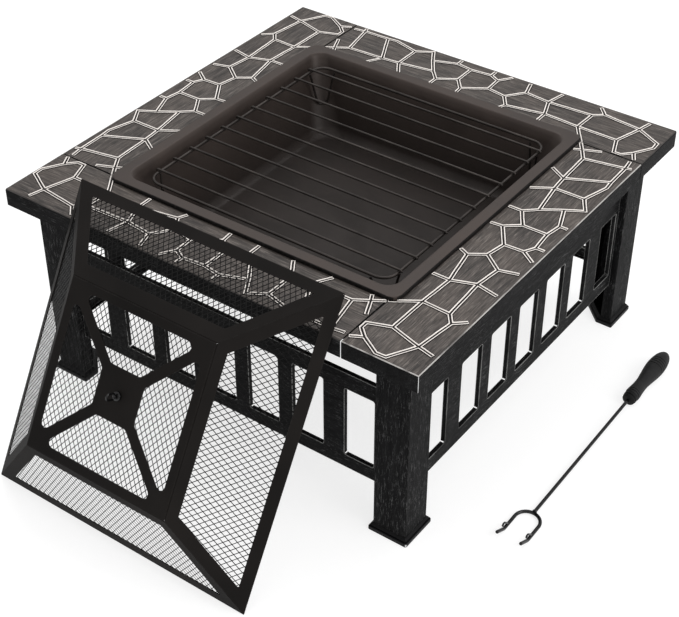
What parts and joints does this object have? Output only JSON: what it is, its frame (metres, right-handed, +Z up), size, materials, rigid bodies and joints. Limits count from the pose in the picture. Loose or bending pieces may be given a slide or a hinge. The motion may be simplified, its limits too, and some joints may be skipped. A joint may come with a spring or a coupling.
{
  "type": "fire pit table",
  "caption": "Square steel fire pit table with a drop-in fire bowl, a wire cooking grate, a mesh spark lid leaning on its front edge and a two-pronged poker on the floor.",
  "frame": {"origin": "centre of the whole object's box, at the floor the table stands on", "axes": "+Z up, +Y from the lid towards the back of the table, +X towards the side where the poker lies"},
  "size_m": [0.934, 1.0684, 0.4442],
  "materials": {
    "stamped_top": "stamped stone pattern, brushed charcoal brown, satin",
    "brushed_black": "black with rubbed silver streaks and edges, satin",
    "cap_black": "black, matte",
    "bowl_bronze": "dark bronze heat-proof paint, satin",
    "grate_wire": "dark blackened steel wire, semi-gloss",
    "lid_black": "charcoal powder coat, smooth matte",
    "lid_mesh": "black expanded mesh, matte",
    "poker_steel": "black steel rod, semi-gloss",
    "handle_black": "black, matte"
  },
  "bodies": {
    "table": {"apron_back": "brushed_black", "apron_front": "brushed_black", "apron_left": "brushed_black", "apron_right": "brushed_black", "corner_bracket_back_left": "brushed_black", "corner_bracket_back_right": "brushed_black", "corner_bracket_front_left": "brushed_black", "corner_bracket_front_right": "brushed_black", "foot_cap_back_left": "cap_black", "foot_cap_back_right": "cap_black", "foot_cap_front_left": "cap_black", "foot_cap_front_right": "cap_black", "leg_back_left": "brushed_black", "leg_back_right": "brushed_black", "leg_front_left": "brushed_black", "leg_front_right": "brushed_black", "top_panel_back": "stamped_top", "top_panel_front": "stamped_top", "top_panel_left": "stamped_top", "top_panel_right": "stamped_top"},
    "bowl": {"bowl": "bowl_bronze"},
    "grate": {"grate_foot_back_left": "grate_wire", "grate_foot_back_right": "grate_wire", "grate_foot_front_left": "grate_wire", "grate_foot_front_right": "grate_wire", "grate_frame": "grate_wire", "grate_wire_01": "grate_wire", "grate_wire_02": "grate_wire", "grate_wire_03": "grate_wire", "grate_wire_04": "grate_wire", "grate_wire_05": "grate_wire", "grate_wire_06": "grate_wire", "grate_wire_07": "grate_wire", "grate_wire_08": "grate_wire", "grate_wire_09": "grate_wire", "grate_wire_10": "grate_wire", "grate_wire_11": "grate_wire"},
    "lid": {"lid_eye_collar": "lid_black", "lid_eye_nut": "lid_black", "lid_lifting_eye": "lid_black", "lid_plate": "lid_black", "lid_plate_mesh": "lid_mesh", "lid_side_frame_left": "lid_black", "lid_side_frame_lower": "lid_black", "lid_side_frame_right": "lid_black", "lid_side_frame_upper": "lid_black", "lid_side_mesh_left": "lid_mesh", "lid_side_mesh_lower": "lid_mesh", "lid_side_mesh_right": "lid_mesh", "lid_side_mesh_upper": "lid_mesh"},
    "poker": {"poker_barb_left": "poker_steel", "poker_barb_right": "poker_steel", "poker_ferrule": "handle_black", "poker_fork": "poker_steel", "poker_handle": "handle_black", "poker_shaft": "poker_steel"}
  },
  "joints": [
    {"name": "bowl_lift", "type": "slide", "parent": "table", "child": "bowl", "axis": [0, 0, 1], "range_m": [0, 0.2]},
    {"name": "grate_lift", "type": "slide", "parent": "bowl", "child": "grate", "axis": [0, 0, 1], "range_m": [0, 0.12]},
    {"name": "lid_lift", "type": "slide", "parent": "table", "child": "lid", "axis": [0, 0, 1], "range_m": [0, 0.45]},
    {"name": "poker_lift", "type": "slide", "parent": "table", "child": "poker", "axis": [0, 0, 1], "range_m": [0, 0.45]}
  ]
}
